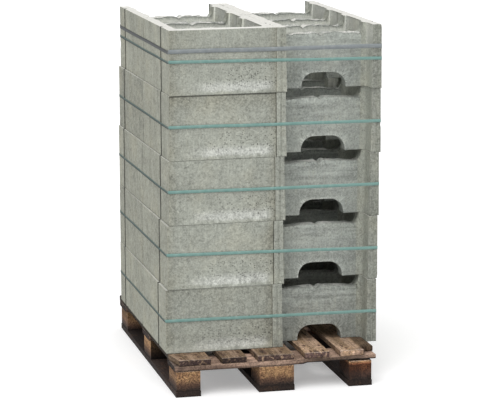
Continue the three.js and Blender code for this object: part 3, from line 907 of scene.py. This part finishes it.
class BLOCKPALLET_OT_blocks(bpy.types.Operator):
    """Cast the twenty hollow blocks, each with its own chips, pits and tone"""

    bl_idname = "block_pallet.blocks"
    bl_label = "Concrete blocks"

    def execute(self, context):
        s = context.scene.block_pallet_blocks
        concrete = concrete_material(s)
        for layer in LAYERS:
            for number, place in enumerate(PLACES):
                node = f"block_layer_{layer}_{place}"
                low, high = node_box(node)
                turn = s.turns[layer - 1]
                size = true_sides(low, high, turn)
                seed = layer * len(PLACES) + number
                points, quads, masks = block_shape(BlockPlan(size, s, layer, place, seed), s, seed)
                about = math.pi if place.startswith("rear") else 0.0
                points = turned(points - size * (0.0, 0.5, 0.5), turn + about, (low + high) / 2)
                settle(put_mesh(f"cast_{node}", points, quads, masks), concrete, "concrete", node)
        return {"FINISHED"}


# ---- Pallet ----

RUN_STEP = 0.018                 # widest lattice step along the grain
NAIL_LINES, NAIL_RUST = (0.004, 0.012), (0.0075, 0.020)    # across and along the grain


def end_marks(size, edge=EDGE):
    """Lattice lines beside the two ends of a board's side."""
    return [*edge, *(size - edge)]


def timber(node, run_axis, s, seed, keep=None, shape_more=None, dark=None, cracks=1, step=0.012, tone=1.0,
           nails=None, left=1.0, front=1.0, ends=1.0, worn=1.0):
    """One board or block of timber in the box of its node.

    The timber is the skin of a lattice box, with lines close to its edges, beside each drying crack
    and about each nail. Its faces stand in by a slow noise, its edges are softened by an uneven
    weight, and each crack is a wedge that is deepest at the end and fades along the grain. Rust lies
    on the top in an ellipse about each nail. left and front are how light those two faces are, ends is
    how dark the end grain is, and worn how uneven the faces and round the edges are.
    """
    low, high = node_box(node)
    side_axis = 1 - run_axis
    axes = (side_axis, run_axis)
    dice = np.random.default_rng(seed)
    size = high - low
    splits = [(dice.uniform(0.15, 0.85) * size[side_axis], dice.choice((0, 1)), dice.uniform(0.04, 0.16))
              for _ in range(cracks)]
    marks = [end_marks(size[0]), end_marks(size[1]), end_marks(size[2], EDGE[:3])]
    for place, _, _ in splits:
        marks[side_axis] += [place - s.crack, place, place + s.crack]
    if nails is not None:
        nails = nails - low[:2]
        for axis, reach in zip(axes, NAIL_LINES):
            about = nails[:, axis] + np.arange(-2.0, 3.0)[:, None] * reach
            marks[axis] += [*np.clip(about, 0.0, size[axis]).ravel()]
    steps = (RUN_STEP, step) if run_axis == 0 else (step, RUN_STEP)
    grid = [lines(mark, gap) for mark, gap in zip(marks, (*steps, min(step, size[2] / 4)))]
    cells = middles(grid)
    points, quads, facing = lattice_shell(grid, keep(*cells, size) if keep else np.ones(cells[0].shape, bool))
    run, side, rise = points[:, run_axis], points[:, side_axis], points[:, 2]
    on_top = rise > size[2] - TINY
    place = points + seed * 0.9
    shape = points.copy()
    for axis in range(3):
        give = 0.0007 * (1.0 + noise(place, 0.06, seed + axis))
        give = give + 0.0003 * (1.0 + noise(place, 0.012, seed + axis))
        give *= worn
        shape[:, axis] += (points[:, axis] < TINY) * give
        shape[:, axis] -= (points[:, axis] > size[axis] - TINY) * give
    end_face = (run < TINY) | (run > size[run_axis] - TINY)
    uneven = worn * 0.0012 * (1.0 + noise(place, 0.018, seed + 8))
    shape[:, run_axis] -= end_face * np.sign(run - size[run_axis] / 2) * uneven
    shape = soften(shape, quads, (facing > 1) * (0.45 + 0.25 * noise(place, 0.03, seed + 5)) * worn, 2)
    for at, end, reach in splits:
        depth = fade(abs(side - at), s.crack) * fade(run if end == 0 else size[run_axis] - run, reach)
        shape[:, 2] -= on_top * 0.006 * depth
        shape[:, run_axis] += end_face * 0.010 * depth * (1 if end == 0 else -1)
    if shape_more is not None:
        shape_more(shape, points, size)
    rust = np.zeros(len(points))
    if nails is not None:
        away = [(points[:, None, axis] - nails[None, :, axis]) / reach
                for axis, reach in zip(axes, NAIL_RUST)]
        rust = ramp(np.hypot(*away).min(1), 1.0, 0.3) * ramp(rise, 0.8 * size[2], size[2])
    # Painted light and shade: the left and front faces are painted lighter or darker by their factors, the
    # bottom 6 mm is painted darker as shade, and dark adds painted light and shade by place.
    lit = np.where(points[:, 0] < TINY, left, 1.0) * np.where(points[:, 1] < TINY, front, 1.0)
    lit *= 1.0 - 0.40 * ramp(rise, 0.006, 0.001)
    masks = {
        "grain": np.stack([run, side, rise], 1) + seed * np.array((1.3, 0.71, 0.37)),
        "tone": np.full(len(points), tone * dice.uniform(0.97, 1.03)),
        "lit": lit * dark(*points.T, size) if dark else lit,
        "arris": facing > 1,
        "end": ends * ramp(np.minimum(run, size[run_axis] - run), 0.003, 0.0),
        "low": (shape[:, 2] + low[2]) / 0.1,
        "rust": rust,
        "worn": ramp(run, 0.010, 0.004) * on_top,
    }
    return put_mesh(f"timber_{node}", np.clip(shape, 0.0, size) + low, quads, masks)


def nail_places(number):
    """Two nails across and two along, where a deck board crosses each stringer, as an array of x and y."""
    dice = np.random.default_rng(10 + number)
    low, high = node_box(f"deck_board_{number}")
    spots = []
    for row in ROWS:
        near, far = node_box(f"stringer_board_{row}")
        for side in (0.22, 0.78):
            for run in (0.22, 0.72):
                x = low[0] + (high[0] - low[0]) * side + dice.uniform(-0.012, 0.012)
                y = near[1] + (far[1] - near[1]) * run + dice.uniform(-0.022, 0.022)
                if not (number == BROKEN_BOARD and side > 0.5 and row == "front"):
                    spots.append((x, y))
    return np.array(spots)


class BLOCKPALLET_OT_deck(bpy.types.Operator):
    """Lay the deck boards and stringers, with the broken strip and the split"""

    bl_idname = "block_pallet.deck"
    bl_label = "Deck and stringers"

    def execute(self, context):
        s = context.scene.block_pallet_pallet
        boards = wood_material("deck_timber", s.deck, s.deck_dark, (0.360, 0.250, 0.175))
        stringers = wood_material("stringer_timber", s.stringer, s.deck_dark, (0.190, 0.125, 0.095))

        def worn_corner(shape, points, size):
            """In along x by the wear, falling evenly to 0 at 110 mm behind the corner and 70 mm beside it."""
            shape[:, 0] += s.worn_corner * (fade(points[:, 1], 0.11) * fade(points[:, 0], 0.07))

        def split(shape, points, size):
            """The foot lifts by the split's height along its run, fades out at its reach, ragged by noise."""
            start = size[0] - s.split_run
            depth = ramp(points[:, 0], start, start + 0.012) * (0.8 + 0.3 * noise(points, 0.03, 3.0))
            under = fade(points[:, 2], 2.2 * s.split_height)
            shape[:, 2] += s.split_height * depth * fade(points[:, 1], s.split_reach) * under

        def unbroken(x, y, z, size):
            """The cells that are left: the broken strip ends in splinters 7 and 3 mm wide."""
            wide = scatter(np.floor(x / 0.007), 0 * y, 0 * z, 4.0)
            narrow = scatter(np.floor(x / 0.003), 0 * y, 0 * z, 9.0)
            return ~((x > size[0] - s.broken_strip) & (y < s.broken_length + 0.012 * wide + 0.006 * narrow))

        def edge_shade(x, y, z, size):
            """Down to 22 % within 20 to 10 mm of the left edge, from 100 to 140 mm behind the front on."""
            return 1.0 - 0.78 * ramp(x, 0.020, 0.010) * ramp(y, 0.100, 0.140)

        def near_shade(x, y, z, size):
            """Up to 15 % lighter towards the front end, from 110 to 50 mm behind it."""
            return 1.0 + 0.15 * ramp(y, 0.110, 0.050)

        def break_shade(x, y, z, size):
            """29 % in the break, 46 % on its strip up to 250 mm back, the near shade squared elsewhere."""
            strip = x > size[0] - s.broken_strip - TINY
            near = near_shade(x, y, z, size) ** 2.0
            behind = np.where(strip & (y < 0.25), 0.46, near)
            return np.where(strip & (y < s.broken_length + 0.022), 0.29, behind)

        def stringer_shade(x, y, z, size):
            """Tones along the front and the top, down to 12 % in the split and to 45 % at the foot edge."""
            low = ramp(z, 1.4 * s.split_height, 0.7 * s.split_height) * (y < s.split_reach + 0.004)
            dark_split = 1.0 - 0.88 * low * ramp(x, size[0] - s.split_run - 0.010, size[0] - s.split_run)
            front, top = (np.interp(x / size[0], np.linspace(0.0, 1.0, len(tones)), tones)
                          for tones in (s.stringer_tones, s.stringer_top_tones))
            foot = 1.0 - 0.55 * ramp(z, 0.0075, 0.0025)
            return dark_split * foot * np.where(y < TINY, front, top)

        # Painted shade on the left sides of the boards, and each board's front end is scaled by its end tone.
        more = {number: {"step": 0.010, "left": 0.6} for number in BOARDS}
        more[1].update(shape_more=worn_corner, dark=edge_shade, left=0.5)
        more[4].update(dark=near_shade)
        more[BROKEN_BOARD].update(keep=unbroken, dark=break_shade, step=0.005, ends=0.2)
        for number in BOARDS:
            node = f"deck_board_{number}"
            nails = nail_places(number)
            outer = nails[abs(nails[:, 1]) > 0.2]          # the middle row lies under the stack
            piece = timber(node, 1, s, 40 + number, tone=s.board_tones[number - 1], nails=outer,
                           front=s.end_tones[number - 1], **more[number])
            settle(piece, boards, "deck_wood", node)
        # Painted shade on the stringers' left ends.
        more = {"front": {"shape_more": split, "dark": stringer_shade, "left": 0.45}}
        for number, row in enumerate(ROWS):
            node = f"stringer_board_{row}"
            piece = timber(node, 0, s, 50 + number, **more.get(row, {"left": 0.28}))
            settle(piece, stringers, "deck_wood", node)
        return {"FINISHED"}


class BLOCKPALLET_OT_feet(bpy.types.Operator):
    """Set the nine pallet blocks and the three bottom boards"""

    bl_idname = "block_pallet.feet"
    bl_label = "Blocks and bottom boards"

    def execute(self, context):
        s = context.scene.block_pallet_pallet
        pressed = wood_material("pressed_chips", s.foot, s.foot_dark, (0.420, 0.250, 0.125), chip=1.0)
        plank = wood_material("foot_timber", (0.20, 0.120, 0.070), s.foot_dark, (0.27, 0.15, 0.08))

        def patches_and_painted_top_light(x, y, z, size):
            """Patches from 60 to 120 %, and painted light, 380 % more, over the last 10 to 4 mm below the
            top.
            """
            patch = ramp(rough(np.stack([x, y, z], 1), 0.030, 6.0), 0.0, 0.8)
            return 0.60 + 0.60 * patch + 3.8 * ramp(z, size[2] - 0.010, size[2] - 0.004)

        def under_deck(x, y, z, size):
            """Down to 40 % in the shade of the deck, from 25 to 60 mm up."""
            return 1.0 - 0.60 * ramp(z, 0.025, 0.060)

        def plank_light_and_shade(x, y, z, size):
            """Painted light and shade: top from 70 to 185 % and sides from 75 to 120 %, the lighter towards
            the front.
            """
            top = 0.7 + 1.15 * ramp(y, 0.62, 0.50)
            return np.where(z > size[2] - TINY, top, 0.75 + 0.45 * ramp(y, 0.45, 0.15))

        for number, row in enumerate(ROWS):
            for offset, line in enumerate(LINES):
                node = f"pallet_block_{row}_{line}"
                # Painted light and shade: the feet's left sides are painted lighter or darker, the front
                # faces of the middle and rear feet dark as shade, and the rear left foot's front lighter.
                faces = {"left": 0.95, "front": 1.0} if row == "front" else {"left": 1.25, "front": 0.2}
                if line == "right":
                    faces["dark"] = patches_and_painted_top_light
                elif (row, line) == ("rear", "left"):
                    faces.update(front=1.5, dark=under_deck)
                piece = timber(node, 1, s, 60 + 3 * number + offset, cracks=0, tone=s.foot_tones[offset],
                               worn=0.3, **faces)
                settle(piece, pressed, "foot_wood", node)
        for number, line in enumerate(LINES):
            node = f"bottom_board_{line}"
            piece = timber(node, 1, s, 70 + number, cracks=0, front=0.8, worn=0.2,
                           dark=plank_light_and_shade if line == "left" else None)
            settle(piece, plank, "foot_wood", node)
        return {"FINISHED"}


class BLOCKPALLET_OT_nails(bpy.types.Operator):
    """Drive the nails that show in the deck"""

    bl_idname = "block_pallet.nails"
    bl_label = "Nails"

    def execute(self, context):
        s = context.scene.block_pallet_pallet
        spots = np.concatenate([nail_places(number) for number in BOARDS])
        deck_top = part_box("deck_board_1")[1][2]
        heads = np.column_stack([spots, np.full(len(spots), deck_top - 0.0004)])
        settle(put_mesh("deck_nails", *nail_heads(heads, s.nail)), nail_material(), "deck_wood")
        return {"FINISHED"}


def nail_heads(tops, radius):
    """Flat round heads: 12 angles by 5 radii and heights, from the middle over the rim to the foot."""
    angles = np.linspace(0.0, 2.0 * math.pi, 12, endpoint=False)
    profile = np.array([(0.0, 0.0), (0.85, 0.0), (1.0, -0.0004), (0.9, -0.0016), (0.0, -0.0016)])
    ring = np.stack([np.cos(angles), np.sin(angles)], 1)
    flat = profile[:, None, 0:1] * ring * radius
    rise = np.broadcast_to(profile[:, None, 1:2], (*flat.shape[:2], 1))
    head = np.concatenate([flat, rise], 2).reshape(-1, 3)
    points = (tops[:, None] + head).reshape(-1, 3)
    quads = np.arange(len(tops))[:, None, None] * len(head) + sleeve(*flat.shape[:2])
    return points, quads.reshape(-1, 4)


# ---- Straps ----

def loop_path(reach, radius, step):
    """A closed path round a rectangle with round corners, anticlockwise from the front right corner: points,
    outward directions and run. reach is half of each side."""
    arcs, directions = [], []
    for corner, start in (((1, -1), -90), ((1, 1), 0), ((-1, 1), 90), ((-1, -1), 180)):
        turn = np.radians(np.linspace(start, start + 90, 9))
        directions.append(np.stack([np.cos(turn), np.sin(turn)], 1))
        arcs.append(corner * reach - np.array(corner) * radius + radius * directions[-1])
    places, outward = [], []
    for arc, direction, following in zip(arcs, directions, arcs[1:] + arcs[:1]):
        goal = following[0]
        parts = np.linspace(0.0, 1.0, int(np.linalg.norm(goal - arc[-1]) / step) + 2)[1:-1, None]
        places += [arc, arc[-1] * (1 - parts) + goal * parts]
        outward += [direction, np.repeat(direction[-1:], len(parts), 0)]
    places, outward = np.concatenate(places), np.concatenate(outward)
    steps = np.linalg.norm(np.roll(places, -1, 0) - places, axis=1)
    return places, outward, np.concatenate([[0.0], np.cumsum(steps)[:-1]])


def band(path, level, width, thickness, spread=1.0, lift=0.0, closed=True):
    """A flat strap: its rectangular section, with slightly round edges, carried along the path. spread is
    the share of its width that it keeps at each point, and lift how far it lies off the path."""
    places, outward, run = path
    edge = thickness * 0.3
    under = [(0.0, -width / 2 + edge), (edge, -width / 2), (thickness - edge, -width / 2),
             (thickness, -width / 2 + edge), (thickness, -width / 6)]
    section = np.array([*under, *((out, -up) for out, up in reversed(under))])
    flat = places[:, None] + outward[:, None] * (section[None, :, 0:1] + lift)
    spread = np.broadcast_to(spread, level.shape)
    rise = level[:, None, None] + section[None, :, 1:2] * spread[:, None, None]
    points = np.concatenate([flat, rise], 2)
    along = np.stack([np.broadcast_to(run[:, None], points.shape[:2]),
                      np.broadcast_to(section[None, :, 1], points.shape[:2]), 0 * rise[..., 0]], 2)
    rows, columns = points.shape[:2]
    quads = sleeve(rows, columns, closed)
    if not closed:
        start = np.array([(i, i + 1, 8 - i, 9 - i) for i in range(4)])
        quads = np.concatenate([quads, start, (start + (rows - 1) * columns)[:, ::-1]])
    return points.reshape(-1, 3), quads, along.reshape(-1, 3)


class BLOCKPALLET_OT_straps(bpy.types.Operator):
    """Draw a strap round each layer and a second, wider one round the top layer"""

    bl_idname = "block_pallet.straps"
    bl_label = "Straps"

    def execute(self, context):
        s = context.scene.block_pallet_straps
        green = strap_material("green_strap_plastic", s.green, s.layer_width, s.left_shade, 1.3)
        grey = strap_material("grey_strap_plastic", s.grey, s.top_width, s.left_shade, -1.1)
        jobs = [(f"strap_layer_{layer}", layer, s.layer_width, s.left_width, green, "green_strap", 0.36)
                for layer in LAYERS]
        jobs.append(("strap_top", LAYERS[-1], s.top_width, 0.85, grey, "grey_strap", 0.33))
        for seed, (node, layer, width, left_width, plastic, slot, weld_share) in enumerate(jobs):
            low, high = node_box(node)
            turn = context.scene.block_pallet_blocks.turns[layer - 1]
            sides = true_sides(low, high, turn)
            reach = sides[:2] / 2 - s.thickness
            places, outward, run = path = loop_path(reach, s.corner, 0.02)
            # The run on the left is narrower, lower and painted darker as shade.
            away = ramp(-outward[:, 0], 0.2, 0.9) * ramp(places[:, 1] + reach[1], 0.006, 0.030)
            spread = 1.0 - away * (1.0 - left_width)
            sway = 0.0008 * noise(np.stack([run, 0 * run, 0 * run], 1), 0.2, seed)
            level = sway - (sides[2] - width) * places[:, 0] / sides[0]
            level -= away * (s.left_drop + width * (1.0 - spread.min()) / 2)
            points, quads, along = band(path, level, width, s.thickness, spread)
            start = weld_share * run[-1]
            seam = (run > start) & (run < start + s.weld)
            patch = [values[seam] for values in path]
            weld = band(patch, level[seam] + 0.0006, width, s.thickness, lift=s.thickness, closed=False)
            quads = np.concatenate([quads, weld[1] + len(points)])
            points = turned(np.concatenate([points, weld[0]]), turn, (low + high) / 2)
            masks = {"along": np.concatenate([along, weld[2]]),
                     "away": np.concatenate([np.repeat(away, len(along) // len(away)),
                                             np.zeros(len(weld[0]))])}
            settle(put_mesh(f"band_{node}", points, quads, masks, 30.0), plastic, slot, node)
        return {"FINISHED"}


# ---- Stage ----

class BLOCKPALLET_OT_stage(bpy.types.Operator):
    """Set the pale floor, the even light, the soft sun and the camera"""

    bl_idname = "block_pallet.stage"
    bl_label = "Stage"

    def execute(self, context):
        s = context.scene.block_pallet_stage
        scene = context.scene
        scene.view_settings.view_transform = "Standard"
        white = (1.0, 1.0, 1.0, 1.0)

        corners = 40.0 * np.array([(-1, -1, 0), (1, -1, 0), (1, 1, 0), (-1, 1, 0)])
        floor = put_mesh("studio_floor", corners, np.array([(0, 1, 2, 3)]))
        made, graph = material("studio_floor_white")
        plain = graph.out("BsdfDiffuse", {"Color": (0.86, 0.86, 0.86, 1.0)})
        place = graph.out("TexCoord", output="Object")
        right, back = graph.part(place, 0), graph.part(place, 1)
        # A painted shadow under the pallet: the floor's glow is taken away there.
        under = right.math("ABSOLUTE").above(0.40, 0.34) * back.above(-0.20, -0.06) * back.above(0.62, 0.55)
        glow = graph.out("Emission", {"Color": white, "Strength": graph.seen() * (1.0 - under) * 0.30})
        graph.node("OutputMaterial", {"Surface": graph.out("AddShader", {0: plain, 1: glow})})
        floor.data.materials.append(made)

        scene.world = bpy.data.worlds.new("even_sky")
        graph = Graph(scene.world)
        sky = graph.out("Background", {"Color": white, "Strength": graph.seen() * (1.0 - s.sky) + s.sky})
        graph.node("OutputWorld", {"Surface": sky})

        light = bpy.data.lights.new("soft_sun", "SUN")
        light.energy, light.angle = s.sun, math.radians(50.0)
        sun = bpy.data.objects.new("soft_sun", light)
        sun.rotation_euler = Vector((0.34, 0.74, -1.15)).to_track_quat("-Z", "Y").to_euler()
        context.collection.objects.link(sun)

        lens = bpy.data.cameras.new("camera")
        lens.lens, lens.sensor_width, lens.clip_end = s.lens, 36.0, 100.0
        camera = bpy.data.objects.new("camera", lens)
        ahead = Vector((math.sin(s.yaw) * math.cos(s.pitch), math.cos(s.yaw) * math.cos(s.pitch),
                        -math.sin(s.pitch)))
        level = Vector((math.cos(s.yaw), -math.sin(s.yaw), 0.0))
        over = level.cross(ahead)
        side = level * math.cos(s.roll) + over * math.sin(s.roll)
        over = over * math.cos(s.roll) - level * math.sin(s.roll)
        camera.matrix_world = Matrix.Translation(s.eye) @ Matrix((side, over, -ahead)).transposed().to_4x4()
        context.collection.objects.link(camera)
        scene.camera = camera
        return {"FINISHED"}


class BLOCKPALLET_PT_panel(bpy.types.Panel):
    bl_idname = "BLOCKPALLET_PT_panel"
    bl_label = "Block pallet"
    bl_space_type = "VIEW_3D"
    bl_region_type = "UI"
    bl_category = "Block pallet"

    def draw(self, context):
        for operator in OPERATORS:
            self.layout.operator(operator.bl_idname)
        for name in SETTINGS:
            group = getattr(context.scene, name)
            box = self.layout.box()
            for key in group.bl_rna.properties.keys():
                if key not in ("rna_type", "name"):
                    box.prop(group, key)


OPERATORS = (BLOCKPALLET_OT_stage, BLOCKPALLET_OT_blocks, BLOCKPALLET_OT_deck, BLOCKPALLET_OT_feet,
             BLOCKPALLET_OT_nails, BLOCKPALLET_OT_straps)
SETTINGS = {
    "block_pallet_blocks": BlockSettings,
    "block_pallet_pallet": PalletSettings,
    "block_pallet_straps": StrapSettings,
    "block_pallet_stage": StageSettings,
}
CLASSES = (*SETTINGS.values(), *OPERATORS, BLOCKPALLET_PT_panel)


def register():
    for kind in CLASSES:
        bpy.utils.register_class(kind)
    for name, group in SETTINGS.items():
        setattr(bpy.types.Scene, name, bpy.props.PointerProperty(type=group))


def unregister():
    for name in SETTINGS:
        delattr(bpy.types.Scene, name)
    for kind in reversed(CLASSES):
        bpy.utils.unregister_class(kind)


def main():
    register()
    bpy.ops.block_pallet.stage()
    bpy.ops.block_pallet.blocks()
    bpy.ops.block_pallet.deck()
    bpy.ops.block_pallet.feet()
    bpy.ops.block_pallet.nails()
    bpy.ops.block_pallet.straps()


if __name__ == "__main__":
    main()
